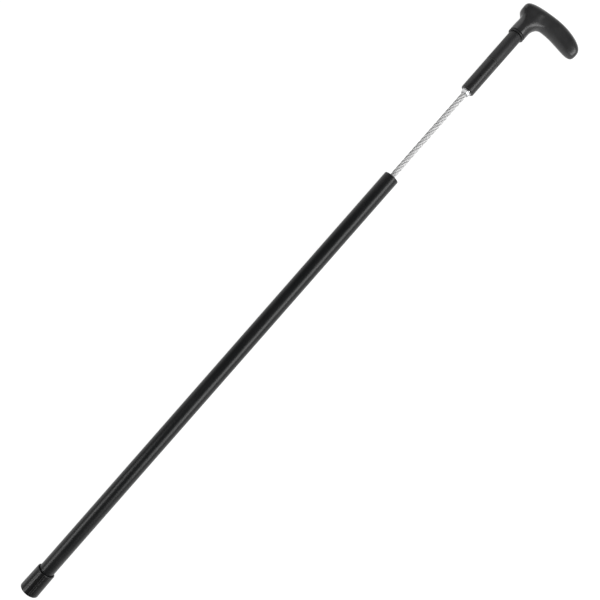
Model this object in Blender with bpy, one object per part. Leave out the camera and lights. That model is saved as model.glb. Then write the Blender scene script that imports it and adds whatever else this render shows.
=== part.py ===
# Walking stick with a wire-rope core. The stick lies along X: its ground end is at the
# origin, its handle is at +X, and the long arm of the handle points to -Y. The handle, the
# round grip below it and the rope slide out of the shaft as one piece and turn in it.
# The handle is drawn part way out, so the rope shows between the shaft and the grip.

import math

import bmesh
import bpy
from mathutils import Matrix, Vector

MM = 0.001

# Shaft and its ground end
SHAFT_REACH = 851.5 * MM  # ground to the mouth of the tube
TUBE_DIAMETER = 25.4 * MM
TUBE_WALL = 1.47 * MM
TUBE_ROUND = 0.6 * MM  # rounding of the tube's edges
TIP_HEIGHT = 41 * MM
TIP_WALL = 2.6 * MM  # rubber around the tube, at the tip's upper rim
TIP_FLARE = 0.6 * MM  # how much wider the tip is at the ground
TIP_SOLE = 9 * MM
TIP_FOOT = 6 * MM  # height of the smooth band at the ground
TIP_ROUND = 2.2 * MM
SEAT_DISC_THICKNESS = 1.5 * MM
PLUG_LENGTH = 26 * MM
PLUG_PIN_DIAMETER = 4 * MM
PLUG_ROUND = 1 * MM
BUMPER_LENGTH = 20 * MM
BUMPER_ROUND = 2 * MM
BUMPER_CLEARANCE = 1.7 * MM  # around the bumper in the tube

# Rope and its two ends
ROPE_DIAMETER = 9.5 * MM
ROPE_REST_GAP = 4 * MM  # rope cap to bumper when the stick is closed
CAP_WALL = 1.9 * MM
CAP_LENGTH = 24 * MM
CAP_END = 5 * MM  # solid metal at the cap's end
CAP_NOSE_ROUND = 2.3 * MM
CAP_RIM_ROUND = 1 * MM
SOCKET_LENGTH = 38 * MM
SOCKET_SHANK = 12 * MM  # solid end of the socket, past the rope
SOCKET_PIN_DIAMETER = 3 * MM

# Grip: a stack of rings and sleeves on a hollow core, clamped by the nut
DRAWN_OUT = 291.4 * MM  # mouth of the tube to the stop collar, as modelled
LOWER_SLEEVE_LENGTH = 58 * MM
LOWER_SLEEVE_FLOOR = 3 * MM
UPPER_SLEEVE_LENGTH = 53.6 * MM
SLEEVE_ROUND = 0.5 * MM
FRICTION_RING_THICKNESS = 1.2 * MM
CORE_WALL = 1.7 * MM
CORE_TENON = 6 * MM  # how far the core stands into the handle's neck
CORE_ROUND = 0.5 * MM
NUT_LENGTH = 5.2 * MM
NUT_SHOULDER = 0.6 * MM  # nut's flats outside its spigot
NUT_CHAMFER = 1.2 * MM
NUT_SPIGOT_WALL = 0.95 * MM
NUT_SPIGOT_LENGTH = 17.5 * MM
NUT_WASHER_THICKNESS = 1.4 * MM
NUT_WASHER_RIM = 1.5 * MM
WASHER_ROUND = 0.25 * MM
LOCK_SCREW_DIAMETER = 2.2 * MM
LOCK_SCREW_INSET = 27 * MM  # from the lower sleeve's end face
LOCK_SCREW_RECESS = 0.9 * MM  # below the lower sleeve's surface
COLLAR_THICKNESS = 1.8 * MM
COLLAR_ROUND = 0.6 * MM
GASKET_THICKNESS = 0.8 * MM
GASKET_INSET = 0.7 * MM  # gasket's rim below the neck's surface

# Handle and what holds it
NECK_DIAMETER = 27.2 * MM
NECK_LENGTH = 16 * MM
NECK_ROUND = 0.6 * MM
ARM_REACH = 89.8 * MM  # stick's axis to the end of the long arm
NOSE_REACH = 21.2 * MM  # stick's axis to the front of the nose
ARM_RISE = 43.2 * MM  # neck's face to the middle of the arm
ARM_HEIGHT = 28.6 * MM
ARM_WIDTH = 28.4 * MM
STUD_DIAMETER = 8 * MM
STUD_IN_CORE = 18 * MM
STUD_ROUND = 0.5 * MM
INSERT_DIAMETER = 13 * MM
INSERT_LENGTH = 20 * MM

# Clearances
SEAT_GAP = 0.3 * MM  # between faces that touch
SLIDE_GAP = 0.1 * MM  # around the sleeves in the tube

ROUND_SIDES = 48
SMALL_SIDES = 24
PIN_SIDES = 16
WELD_GAP = 0.001 * MM  # points this near each other are one
ARC_STEPS = 2
SMOOTH_ANGLE = math.radians(35)

TUBE_RADIUS = TUBE_DIAMETER / 2
TUBE_BORE = TUBE_RADIUS - TUBE_WALL
ROPE_RADIUS = ROPE_DIAMETER / 2
ROPE_HOLE = ROPE_RADIUS + SEAT_GAP
SPIGOT_RADIUS = ROPE_HOLE + NUT_SPIGOT_WALL
SPIGOT_HOLE = SPIGOT_RADIUS + SEAT_GAP
NUT_FLAT = SPIGOT_RADIUS + NUT_SHOULDER  # axis to each flat
SOCKET_RADIUS = SPIGOT_RADIUS
CORE_BORE = SOCKET_RADIUS + SEAT_GAP
CORE_RADIUS = CORE_BORE + CORE_WALL
NECK_RADIUS = NECK_DIAMETER / 2
TENON_HOLE = CORE_RADIUS + SEAT_GAP
SLEEVE_RADIUS = TUBE_BORE - SLIDE_GAP

# Places along the stick, from the ground up
DISC_LOW = TIP_SOLE + SEAT_GAP
TUBE_LOW = DISC_LOW + SEAT_DISC_THICKNESS + SEAT_GAP
PLUG_HIGH = TUBE_LOW + PLUG_LENGTH
BUMPER_LOW = PLUG_HIGH + SEAT_GAP
BUMPER_HIGH = BUMPER_LOW + BUMPER_LENGTH

# Places along the grip, from the stop collar down to the rope's end
COLLAR_LOW = SHAFT_REACH + DRAWN_OUT
UPPER_SLEEVE_LOW = COLLAR_LOW - SEAT_GAP - UPPER_SLEEVE_LENGTH
RING_LOW = UPPER_SLEEVE_LOW - SEAT_GAP - FRICTION_RING_THICKNESS
LOWER_SLEEVE_LOW = RING_LOW - SEAT_GAP - LOWER_SLEEVE_LENGTH
WASHER_LOW = LOWER_SLEEVE_LOW - SEAT_GAP - NUT_WASHER_THICKNESS
NUT_LOW = WASHER_LOW - SEAT_GAP - NUT_LENGTH
CORE_LOW = LOWER_SLEEVE_LOW + LOWER_SLEEVE_FLOOR + SEAT_GAP
SOCKET_LOW = NUT_LOW + NUT_LENGTH + NUT_SPIGOT_LENGTH + SEAT_GAP
SOCKET_HIGH = SOCKET_LOW + SOCKET_LENGTH
ROPE_HIGH = SOCKET_HIGH - SOCKET_SHANK - SEAT_GAP
CLOSING_TRAVEL = DRAWN_OUT - SEAT_GAP
CAP_LOW = BUMPER_HIGH + ROPE_REST_GAP + CLOSING_TRAVEL
ROPE_LOW = CAP_LOW + CAP_END + SEAT_GAP

# Places from the stop collar up into the handle
GASKET_LOW = COLLAR_LOW + COLLAR_THICKNESS + SEAT_GAP
NECK_LOW = GASKET_LOW + GASKET_THICKNESS + SEAT_GAP
CORE_HIGH = NECK_LOW + CORE_TENON
INSERT_LOW = CORE_HIGH + SEAT_GAP
INSERT_HIGH = INSERT_LOW + INSERT_LENGTH
STUD_LOW = CORE_HIGH - STUD_IN_CORE


def clear_scene():
    for obj in list(bpy.data.objects):
        bpy.data.objects.remove(obj)


def finish(name, colour, roughness, metallic=0.0):
    """A plain surface: colour, roughness and metallic value."""
    material = bpy.data.materials.new(name)
    material.use_nodes = True
    shader = material.node_tree.nodes["Principled BSDF"]
    shader.inputs["Base Color"].default_value = (*colour, 1)
    shader.inputs["Roughness"].default_value = roughness
    shader.inputs["Metallic"].default_value = metallic
    material.diffuse_color = (*colour, 1)
    return material


def along(frame):
    """Where a frame stands along the stick."""
    return frame.location.x + along(frame.parent) if frame else 0


def joint_frame(name, x, parent=None):
    """An empty on the stick's axis, which the pieces of one moving group hang from."""
    frame = bpy.data.objects.new(name, None)
    frame.empty_display_size = 20 * MM
    bpy.context.collection.objects.link(frame)
    frame.parent = parent
    frame.location.x = x - along(parent)
    return frame


def place(name, bm, x, parent, material):
    """Turns a bmesh into a named object at a place along the stick."""
    mesh = bpy.data.meshes.new(name)
    bmesh.ops.recalc_face_normals(bm, faces=bm.faces)
    bm.to_mesh(mesh)
    bm.free()
    mesh.shade_smooth()
    mesh.set_sharp_from_angle(angle=SMOOTH_ANGLE)
    mesh.materials.append(material)
    piece = bpy.data.objects.new(name, mesh)
    bpy.context.collection.objects.link(piece)
    piece.parent = parent
    piece.location.x = x - along(parent)
    return piece


def arc_at(corner, before, after, radius):
    """Points of a round corner of that radius."""
    back = (before - corner).normalized()
    ahead = (after - corner).normalized()
    half = back.angle(ahead) / 2
    centre = corner + (back + ahead).normalized() * (radius / math.sin(half))
    start = corner + back * (radius / math.tan(half)) - centre
    end = corner + ahead * (radius / math.tan(half)) - centre
    sweep = start.angle_signed(end)
    return [centre + Matrix.Rotation(-sweep * k / ARC_STEPS, 2) @ start for k in range(ARC_STEPS + 1)]


def outline(corners):
    """A closed outline from (x, radius) or (x, radius, rounding) corners."""
    points = [Vector(corner[:2]) for corner in corners]
    rounds = [corner[2] if len(corner) > 2 else 0 for corner in corners]
    path = []
    for i, (point, rounding) in enumerate(zip(points, rounds)):
        if rounding:
            path += arc_at(point, points[i - 1], points[(i + 1) % len(points)], rounding)
        else:
            path.append(point)
    return path


def turned(corners, sides=ROUND_SIDES):
    """A body turned about the X axis from a closed outline."""
    bm = bmesh.new()
    rim = [bm.verts.new((x, 0, max(radius, 0))) for x, radius in outline(corners)]
    edges = []
    for a, b in zip(rim, rim[1:] + rim[:1]):
        if a.co.z > 0 or b.co.z > 0:
            edges.append(bm.edges.new((a, b)))
    bmesh.ops.spin(
        bm,
        geom=rim + edges,
        cent=(0, 0, 0),
        axis=(1, 0, 0),
        angle=math.tau,
        steps=sides,
        use_merge=True,
    )
    bmesh.ops.remove_doubles(bm, verts=bm.verts, dist=WELD_GAP)
    return bm


def rod(length, radius, rounding=0.0, sides=SMALL_SIDES):
    """A solid round bar along X."""
    return turned(((0, 0), (0, radius, rounding), (length, radius, rounding), (length, 0)), sides)


def ring(length, bore, radius, rounding=0.0, sides=ROUND_SIDES):
    """A round bush or washer along X."""
    corners = ((0, bore), (0, radius, rounding), (length, radius, rounding), (length, bore))
    return turned(corners, sides)


def cut_away(piece, cutter_name, bm, x):
    """Cuts a hidden shape out of a piece."""
    bmesh.ops.recalc_face_normals(bm, faces=bm.faces)
    mesh = bpy.data.meshes.new(cutter_name)
    bm.to_mesh(mesh)
    bm.free()
    cutter = bpy.data.objects.new(cutter_name, mesh)
    bpy.context.collection.objects.link(cutter)
    cutter.parent = piece.parent
    cutter.location.x = x - along(piece.parent)
    cutter.hide_render = True
    cutter.display_type = "WIRE"
    cut = piece.modifiers.new(cutter_name, "BOOLEAN")
    cut.operation = "DIFFERENCE"
    cut.solver = "EXACT"
    cut.object = cutter


def cross_bar(radius, low, high, sides=SMALL_SIDES):
    """A round bar along Z between two heights."""
    bm = bmesh.new()
    bmesh.ops.create_cone(
        bm,
        cap_ends=True,
        segments=sides,
        radius1=radius,
        radius2=radius,
        depth=high - low,
    )
    bmesh.ops.translate(bm, verts=bm.verts, vec=(0, 0, (low + high) / 2))
    return bm


def make_shaft(shaft):
    """Tube, its closed bottom end and the rubber tip."""
    rubber = finish("black_rubber", (0.025, 0.025, 0.027), 0.65)
    steel = finish("plain_steel", (0.55, 0.55, 0.56), 0.35, 1.0)
    nylon = finish("dark_nylon", (0.05, 0.05, 0.052), 0.5)
    coated = finish("satin_black_tube", (0.02, 0.02, 0.021), 0.38)

    bore = TUBE_RADIUS + SEAT_GAP
    rim = bore + TIP_WALL
    foot = rim + TIP_FLARE
    tip = turned(
        (
            (0, 0),
            (0, foot, TIP_ROUND),
            (TIP_FOOT, foot),
            (TIP_HEIGHT, rim, TIP_WALL / 3),
            (TIP_HEIGHT, bore),
            (TIP_SOLE, bore),
            (TIP_SOLE, 0),
        )
    )
    place("rubber_tip", tip, 0, shaft, rubber)

    disc = rod(SEAT_DISC_THICKNESS, TUBE_RADIUS, sides=ROUND_SIDES)
    place("tip_seat_disc", disc, DISC_LOW, shaft, steel)

    tube = turned(
        (
            (TUBE_LOW, TUBE_BORE),
            (TUBE_LOW, TUBE_RADIUS, TUBE_ROUND),
            (SHAFT_REACH, TUBE_RADIUS, TUBE_ROUND),
            (SHAFT_REACH, TUBE_BORE),
        )
    )
    tube_piece = place("shaft_tube", tube, 0, shaft, coated)

    plug = rod(PLUG_LENGTH, TUBE_BORE - SEAT_GAP, PLUG_ROUND)
    plug_piece = place("end_plug", plug, TUBE_LOW, shaft, nylon)

    pin_place = TUBE_LOW + PLUG_LENGTH / 2
    pin_radius = PLUG_PIN_DIAMETER / 2
    pin_end = TUBE_RADIUS - SEAT_GAP
    place("plug_pin", cross_bar(pin_radius, -pin_end, pin_end), pin_place, shaft, steel)
    for piece in (tube_piece, plug_piece):
        hole = cross_bar(pin_radius + SEAT_GAP, -TUBE_DIAMETER, TUBE_DIAMETER)
        cut_away(piece, piece.name + "_pin_hole", hole, pin_place)

    bumper = rod(BUMPER_LENGTH, TUBE_BORE - BUMPER_CLEARANCE, BUMPER_ROUND)
    place("rope_bumper", bumper, BUMPER_LOW, shaft, rubber)


def make_friction_ring(slide):
    """Ring between the sleeves that grips the tube's bore when the stick is closed."""
    elastic = finish("ring_rubber", (0.03, 0.03, 0.032), 0.55)
    band = ring(FRICTION_RING_THICKNESS, TENON_HOLE, SLEEVE_RADIUS, FRICTION_RING_THICKNESS / 4)
    place("friction_ring", band, RING_LOW, slide, elastic)


def make_rope(grip):
    """Wire rope, the cap on its free end and the socket that ties it to the grip."""
    bright = finish("bright_steel", (0.75, 0.75, 0.76), 0.28, 1.0)
    wire = finish("rope_wire", (0.72, 0.72, 0.73), 0.35, 1.0)

    place("wire_rope", rod(ROPE_HIGH - ROPE_LOW, ROPE_RADIUS), ROPE_LOW, grip, wire)

    cap_radius = ROPE_HOLE + CAP_WALL
    cap = turned(
        (
            (0, 0),
            (0, cap_radius, CAP_NOSE_ROUND),
            (CAP_LENGTH, cap_radius, CAP_RIM_ROUND),
            (CAP_LENGTH, ROPE_HOLE),
            (CAP_END, ROPE_HOLE),
            (CAP_END, 0),
        ),
        SMALL_SIDES,
    )
    place("rope_end_cap", cap, CAP_LOW, grip, bright)

    solid_from = SOCKET_LENGTH - SOCKET_SHANK
    socket = turned(
        (
            (0, ROPE_HOLE),
            (0, SOCKET_RADIUS),
            (SOCKET_LENGTH, SOCKET_RADIUS),
            (SOCKET_LENGTH, 0),
            (solid_from, 0),
            (solid_from, ROPE_HOLE),
        ),
        SMALL_SIDES,
    )
    socket_piece = place("rope_socket", socket, SOCKET_LOW, grip, bright)

    pin_place = SOCKET_HIGH - SOCKET_SHANK / 2
    pin_radius = SOCKET_PIN_DIAMETER / 2
    pin_end = CORE_RADIUS - SEAT_GAP
    place("socket_pin", cross_bar(pin_radius, -pin_end, pin_end, PIN_SIDES), pin_place, grip, bright)
    hole = cross_bar(pin_radius + SEAT_GAP, -2 * CORE_RADIUS, 2 * CORE_RADIUS, PIN_SIDES)
    cut_away(socket_piece, "socket_pin_hole", hole, pin_place)
    return socket_piece


def hexagonal_head(bm, length):
    """Widens the turned head of the nut to six flats, with its nose left round."""
    for vert in bm.verts:
        radius = math.hypot(vert.co.y, vert.co.z)
        on_head = vert.co.x <= length + SEAT_GAP / 2
        if not on_head or radius < (SPIGOT_RADIUS + NUT_FLAT) / 2:
            continue
        angle = math.atan2(vert.co.z, vert.co.y) % (math.pi / 3) - math.pi / 6
        scale = 1 / math.cos(angle)
        vert.co.y *= scale
        vert.co.z *= scale


def make_nut(grip):
    """Bright nut and washer where the rope enters the grip."""
    chrome = finish("chrome_plate", (0.85, 0.85, 0.86), 0.12, 1.0)
    spigot_end = NUT_LENGTH + NUT_SPIGOT_LENGTH
    nut = turned(
        (
            (0, ROPE_HOLE),
            (0, NUT_FLAT - NUT_CHAMFER),
            (NUT_CHAMFER, NUT_FLAT),
            (NUT_LENGTH, NUT_FLAT),
            (NUT_LENGTH, SPIGOT_RADIUS),
            (spigot_end, SPIGOT_RADIUS),
            (spigot_end, ROPE_HOLE),
        )
    )
    hexagonal_head(nut, NUT_LENGTH)
    place("rope_nut", nut, NUT_LOW, grip, chrome)

    washer = ring(NUT_WASHER_THICKNESS, SPIGOT_HOLE, SPIGOT_HOLE + NUT_WASHER_RIM, WASHER_ROUND)
    place("nut_washer", washer, WASHER_LOW, grip, chrome)


def make_grip(grip):
    """Hollow core, its two sleeves, the lock screw, the stop collar and the gasket."""
    steel = finish("core_steel", (0.5, 0.5, 0.52), 0.35, 1.0)
    satin = finish("satin_black_sleeve", (0.022, 0.022, 0.023), 0.35)
    matt = finish("matt_black_sleeve", (0.028, 0.028, 0.029), 0.5)
    elastic = finish("gasket_rubber", (0.01, 0.01, 0.01), 0.8)

    bore_end = SOCKET_HIGH + SEAT_GAP - CORE_LOW
    core_length = CORE_HIGH - CORE_LOW
    stud_hole = STUD_DIAMETER / 2 + SEAT_GAP
    core = turned(
        (
            (0, CORE_BORE),
            (0, CORE_RADIUS),
            (core_length, CORE_RADIUS, CORE_ROUND),
            (core_length, stud_hole),
            (core_length - STUD_IN_CORE - SEAT_GAP, stud_hole),
            (core_length - STUD_IN_CORE - SEAT_GAP, 0),
            (bore_end, 0),
            (bore_end, CORE_BORE),
        )
    )
    core_piece = place("grip_core", core, CORE_LOW, grip, steel)
    pin_hole = cross_bar(SOCKET_PIN_DIAMETER / 2 + SEAT_GAP, -2 * CORE_RADIUS, 2 * CORE_RADIUS, PIN_SIDES)
    cut_away(core_piece, "core_pin_hole", pin_hole, SOCKET_HIGH - SOCKET_SHANK / 2)

    lower = turned(
        (
            (0, SPIGOT_HOLE),
            (0, SLEEVE_RADIUS, SLEEVE_ROUND),
            (LOWER_SLEEVE_LENGTH, SLEEVE_RADIUS, SLEEVE_ROUND),
            (LOWER_SLEEVE_LENGTH, TENON_HOLE),
            (LOWER_SLEEVE_FLOOR, TENON_HOLE),
            (LOWER_SLEEVE_FLOOR, SPIGOT_HOLE),
        )
    )
    lower_piece = place("lower_sleeve", lower, LOWER_SLEEVE_LOW, grip, satin)

    upper = ring(UPPER_SLEEVE_LENGTH, TENON_HOLE, SLEEVE_RADIUS, SLEEVE_ROUND)
    place("upper_sleeve", upper, UPPER_SLEEVE_LOW, grip, matt)

    screw_place = LOWER_SLEEVE_LOW + LOCK_SCREW_INSET
    screw_radius = LOCK_SCREW_DIAMETER / 2
    screw_low = SOCKET_RADIUS + SEAT_GAP
    screw = cross_bar(screw_radius, screw_low, SLEEVE_RADIUS - LOCK_SCREW_RECESS, PIN_SIDES)
    place("lock_screw", screw, screw_place, grip, steel)
    for piece in (core_piece, lower_piece):
        hole = cross_bar(screw_radius + SEAT_GAP, CORE_BORE / 2, TUBE_DIAMETER, PIN_SIDES)
        cut_away(piece, piece.name + "_screw_hole", hole, screw_place)

    collar = turned(
        (
            (0, TENON_HOLE),
            (0, NECK_RADIUS, COLLAR_ROUND),
            (COLLAR_THICKNESS, NECK_RADIUS, COLLAR_ROUND / 2),
            (COLLAR_THICKNESS, TENON_HOLE),
        )
    )
    place("stop_collar", collar, COLLAR_LOW, grip, satin)

    gasket = ring(GASKET_THICKNESS, TENON_HOLE, NECK_RADIUS - GASKET_INSET)
    place("neck_gasket", gasket, GASKET_LOW, grip, elastic)


def make_handle_fixings(grip):
    """Threaded insert in the handle, and the stud between it and the core."""
    brass = finish("brass", (0.78, 0.57, 0.3), 0.3, 1.0)
    steel = finish("stud_steel", (0.55, 0.55, 0.57), 0.3, 1.0)
    stud_radius = STUD_DIAMETER / 2
    insert = ring(INSERT_LENGTH, stud_radius + SEAT_GAP, INSERT_DIAMETER / 2, sides=SMALL_SIDES)
    place("threaded_insert", insert, INSERT_LOW, grip, brass)
    stud = rod(INSERT_HIGH - STUD_LOW, stud_radius, STUD_ROUND)
    place("handle_stud", stud, STUD_LOW, grip, steel)


# Control sections of the arm, from the front of the nose to the far end: the share of the
# nose's reach, the share of the arm's reach, the middle's lift as a share of the arm's
# height, and the section's height and width as shares of the arm's own.
ARM_SECTIONS = (
    (0.97, 0.00, -0.18, 0.30, 0.36),
    (0.91, 0.00, -0.20, 0.60, 0.80),
    (0.60, 0.00, -0.21, 0.89, 1.00),
    (0.00, 0.00, -0.13, 0.98, 1.00),
    (0.00, 0.22, -0.05, 0.99, 1.00),
    (0.00, 0.42, -0.01, 1.00, 1.00),
    (0.00, 0.62, -0.06, 1.02, 1.00),
    (0.00, 0.81, -0.17, 0.98, 0.95),
    (0.00, 0.94, -0.27, 0.80, 0.80),
    (0.00, 1.01, -0.32, 0.44, 0.42),
)
NECK_FRONT = 2  # section whose underside meets the front of the neck
NECK_BACK = 4
AROUND = 8  # control points around the arm and around the neck
UNDERSIDE = 4  # which of them is lowest
CONTROL_SCALE = 1.108  # control polygon of eight points to the smooth curve inside it
HANDLE_SMOOTHING = 2


def arm_rings(bm):
    """Rings of control points along the arm, from the nose to the far end."""
    rings = []
    for nose_share, arm_share, lift, height, width in ARM_SECTIONS:
        y = nose_share * NOSE_REACH - arm_share * ARM_REACH
        middle = ARM_RISE + lift * ARM_HEIGHT
        tall = height * ARM_HEIGHT / 2 * CONTROL_SCALE
        wide = width * ARM_WIDTH / 2 * CONTROL_SCALE
        turns = [math.tau * k / AROUND for k in range(AROUND)]
        rings.append([bm.verts.new((middle + tall * math.cos(a), y, wide * math.sin(a))) for a in turns])
    return rings


def neck_rings(bm):
    """Rings of control points down the neck, the last ones drawn in across its face."""
    full = NECK_RADIUS * CONTROL_SCALE
    edge = NECK_ROUND * 2
    rings = []
    for x, radius in (
        (NECK_LENGTH, full),
        (NECK_LENGTH / 2, full),
        (edge, full),
        (0, full),
        (0, full - edge),
        (0, full / 2),
    ):
        turns = [math.tau * k / AROUND for k in range(AROUND)]
        rings.append([bm.verts.new((x, radius * math.cos(a), radius * math.sin(a))) for a in turns])
    return rings


def join_rings(bm, first, second):
    for k in range(len(first)):
        after = (k + 1) % len(first)
        bm.faces.new((first[k], first[after], second[after], second[k]))


def handle_cage():
    """Control mesh of the handle: an arm with the neck joined to its underside."""
    bm = bmesh.new()
    arm = arm_rings(bm)
    for i, (first, second) in enumerate(zip(arm, arm[1:])):
        for k in range(AROUND):
            over_neck = NECK_FRONT <= i < NECK_BACK and k in (UNDERSIDE - 1, UNDERSIDE)
            if not over_neck:
                after = (k + 1) % AROUND
                bm.faces.new((first[k], first[after], second[after], second[k]))
    bm.faces.new(arm[0])
    bm.faces.new(arm[-1])

    front, middle, back = arm[NECK_FRONT], arm[NECK_FRONT + 1], arm[NECK_BACK]
    left, right = UNDERSIDE - 1, UNDERSIDE + 1
    opening = [
        front[UNDERSIDE],
        front[left],
        middle[left],
        back[left],
        back[UNDERSIDE],
        back[right],
        middle[right],
        front[right],
    ]
    bm.verts.remove(middle[UNDERSIDE])
    neck = neck_rings(bm)
    for first, second in zip([opening] + neck, neck):
        join_rings(bm, first, second)
    bm.faces.new(neck[-1])
    return bm


def make_handle(grip):
    """Moulded handle, hollowed for the core's tenon and the threaded insert."""
    moulded = finish("handle_moulding", (0.03, 0.03, 0.031), 0.42)
    handle = place("handle", handle_cage(), NECK_LOW, grip, moulded)
    smooth = handle.modifiers.new("smooth_form", "SUBSURF")
    smooth.levels = HANDLE_SMOOTHING
    smooth.render_levels = HANDLE_SMOOTHING

    insert_hole = INSERT_DIAMETER / 2 + SEAT_GAP
    below = -CORE_TENON
    tenon_top = CORE_TENON + SEAT_GAP
    socket_top = INSERT_HIGH + SEAT_GAP - NECK_LOW
    hollow = turned(
        (
            (below, 0),
            (below, TENON_HOLE),
            (tenon_top, TENON_HOLE),
            (tenon_top, insert_hole),
            (socket_top, insert_hole),
            (socket_top, 0),
        ),
        SMALL_SIDES,
    )
    cut_away(handle, "handle_hollow", hollow, NECK_LOW)


clear_scene()
shaft_frame = joint_frame("shaft", 0)
slide_frame = joint_frame("handle_slide", SHAFT_REACH, shaft_frame)
spin_frame = joint_frame("handle_spin", COLLAR_LOW, slide_frame)
make_shaft(shaft_frame)
make_friction_ring(slide_frame)
make_rope(spin_frame)
make_nut(spin_frame)
make_grip(spin_frame)
make_handle_fixings(spin_frame)
make_handle(spin_frame)
bpy.context.view_layer.update()
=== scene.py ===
import math

import bmesh
import bpy
from mathutils import Matrix, Vector


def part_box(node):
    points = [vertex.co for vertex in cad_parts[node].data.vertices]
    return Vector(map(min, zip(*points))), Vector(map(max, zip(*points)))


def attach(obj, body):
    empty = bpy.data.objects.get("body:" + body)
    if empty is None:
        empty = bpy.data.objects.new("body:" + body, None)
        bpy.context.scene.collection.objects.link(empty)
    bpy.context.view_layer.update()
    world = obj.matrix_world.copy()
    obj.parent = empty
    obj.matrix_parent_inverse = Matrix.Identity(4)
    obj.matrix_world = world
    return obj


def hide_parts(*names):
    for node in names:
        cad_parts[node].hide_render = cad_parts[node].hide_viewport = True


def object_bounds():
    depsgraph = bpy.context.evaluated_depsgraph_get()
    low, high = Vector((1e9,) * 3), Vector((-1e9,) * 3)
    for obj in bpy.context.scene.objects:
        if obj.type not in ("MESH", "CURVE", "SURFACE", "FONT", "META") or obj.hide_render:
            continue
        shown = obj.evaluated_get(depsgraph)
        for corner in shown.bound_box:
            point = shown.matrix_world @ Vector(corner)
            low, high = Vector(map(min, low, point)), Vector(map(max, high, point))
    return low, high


# Walking stick with a wire-rope core, lying on a white table.
# It lies along X: rubber tip at x = 0, handle at +X, long arm of the handle towards -Y.

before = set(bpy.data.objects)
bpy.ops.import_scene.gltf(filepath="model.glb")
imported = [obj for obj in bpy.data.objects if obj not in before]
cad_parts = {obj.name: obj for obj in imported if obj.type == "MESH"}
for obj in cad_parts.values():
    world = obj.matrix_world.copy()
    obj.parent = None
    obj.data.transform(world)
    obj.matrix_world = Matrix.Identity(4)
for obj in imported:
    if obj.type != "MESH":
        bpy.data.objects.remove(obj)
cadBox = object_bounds()
mm = 0.001
tau = math.tau
stickLength = cadBox[1].x - cadBox[0].x
floorHeight = cadBox[0].z
print("frame loaded, stick is", round(stickLength / mm), "mm long as drawn out")


# Mesh helpers

def softCorners(corners, steps=5):
    # corners are (x, radius) or (x, radius, rounding); gives a closed outline with round corners
    points = [Vector(c[:2]) for c in corners]
    path = []
    for i, corner in enumerate(corners):
        here, before, after = points[i], points[i - 1], points[(i + 1) % len(points)]
        rounding = corner[2] if len(corner) > 2 else 0
        if not rounding:
            path.append(here)
            continue
        back, ahead = (before - here).normalized(), (after - here).normalized()
        half = back.angle(ahead) / 2
        centre = here + (back + ahead).normalized() * (rounding / math.sin(half))
        start = here + back * (rounding / math.tan(half)) - centre
        sweep = start.angle_signed(here + ahead * (rounding / math.tan(half)) - centre)
        for k in range(steps + 1):
            path.append(centre + Matrix.Rotation(-sweep * k / steps, 2) @ start)
    return path


def turnOutline(path, sides, swell=None):
    # spins a closed outline round the X axis; swell(x, radius, angle) may change a point's radius
    bm = bmesh.new()
    rings = []
    for x, radius in path:
        if radius < 1e-7:
            rings.append([bm.verts.new((x, 0, 0))])
            continue
        ring = []
        for k in range(sides):
            angle = tau * k / sides
            r = swell(x, radius, angle) if swell else radius
            ring.append(bm.verts.new((x, r * math.cos(angle), r * math.sin(angle))))
        rings.append(ring)
    for first, second in zip(rings, rings[1:] + rings[:1]):
        if len(first) == 1 and len(second) == 1:
            continue
        for k in range(sides):
            after = (k + 1) % sides
            if len(first) == 1:
                bm.faces.new((first[0], second[after], second[k]))
            elif len(second) == 1:
                bm.faces.new((first[k], first[after], second[0]))
            else:
                bm.faces.new((first[k], first[after], second[after], second[k]))
    return bm


def makePiece(name, bm, material, body, nodes, sharpAngle=35):
    bmesh.ops.recalc_face_normals(bm, faces=bm.faces)
    mesh = bpy.data.meshes.new(name)
    bm.to_mesh(mesh)
    bm.free()
    mesh.shade_smooth()
    mesh.set_sharp_from_angle(angle=math.radians(sharpAngle))
    mesh.materials.append(material)
    piece = bpy.data.objects.new(name, mesh)
    bpy.context.collection.objects.link(piece)
    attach(piece, body)
    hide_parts(*nodes)
    return piece


# Material helpers

def newFinish(name, **values):
    material = bpy.data.materials.new(name)
    material.use_nodes = True
    tree = material.node_tree
    tree.nodes.clear()
    output = tree.nodes.new("ShaderNodeOutputMaterial")
    shader = tree.nodes.new("ShaderNodeBsdfPrincipled")
    tree.links.new(shader.outputs["BSDF"], output.inputs["Surface"])
    for socket, value in values.items():
        shader.inputs[socket.replace("_", " ")].default_value = value
    return material, tree, shader


def localPoint(tree, stretch=(1, 1, 1)):
    # the piece's own coordinates in metres, stretched for grain that runs one way
    coords = tree.nodes.new("ShaderNodeTexCoord")
    mapping = tree.nodes.new("ShaderNodeMapping")
    mapping.inputs["Scale"].default_value = stretch
    tree.links.new(coords.outputs["Object"], mapping.inputs["Vector"])
    return mapping.outputs["Vector"]


def noiseOn(tree, point, scale, detail=3.0, rough=0.5):
    noise = tree.nodes.new("ShaderNodeTexNoise")
    noise.inputs["Scale"].default_value = scale
    noise.inputs["Detail"].default_value = detail
    noise.inputs["Roughness"].default_value = rough
    tree.links.new(point, noise.inputs["Vector"])
    return noise.outputs["Fac"]


def rampOn(tree, factor, stops):
    # stops are (place, value) or (place, colour)
    ramp = tree.nodes.new("ShaderNodeValToRGB")
    for k, (place, value) in enumerate(stops):
        if k > 1:
            ramp.color_ramp.elements.new(place)
        element = ramp.color_ramp.elements[k]
        element.position = place
        colour = (value,) * 3 if isinstance(value, (int, float)) else value
        element.color = (*colour, 1)
    tree.links.new(factor, ramp.inputs["Fac"])
    return ramp.outputs["Color"]


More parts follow.
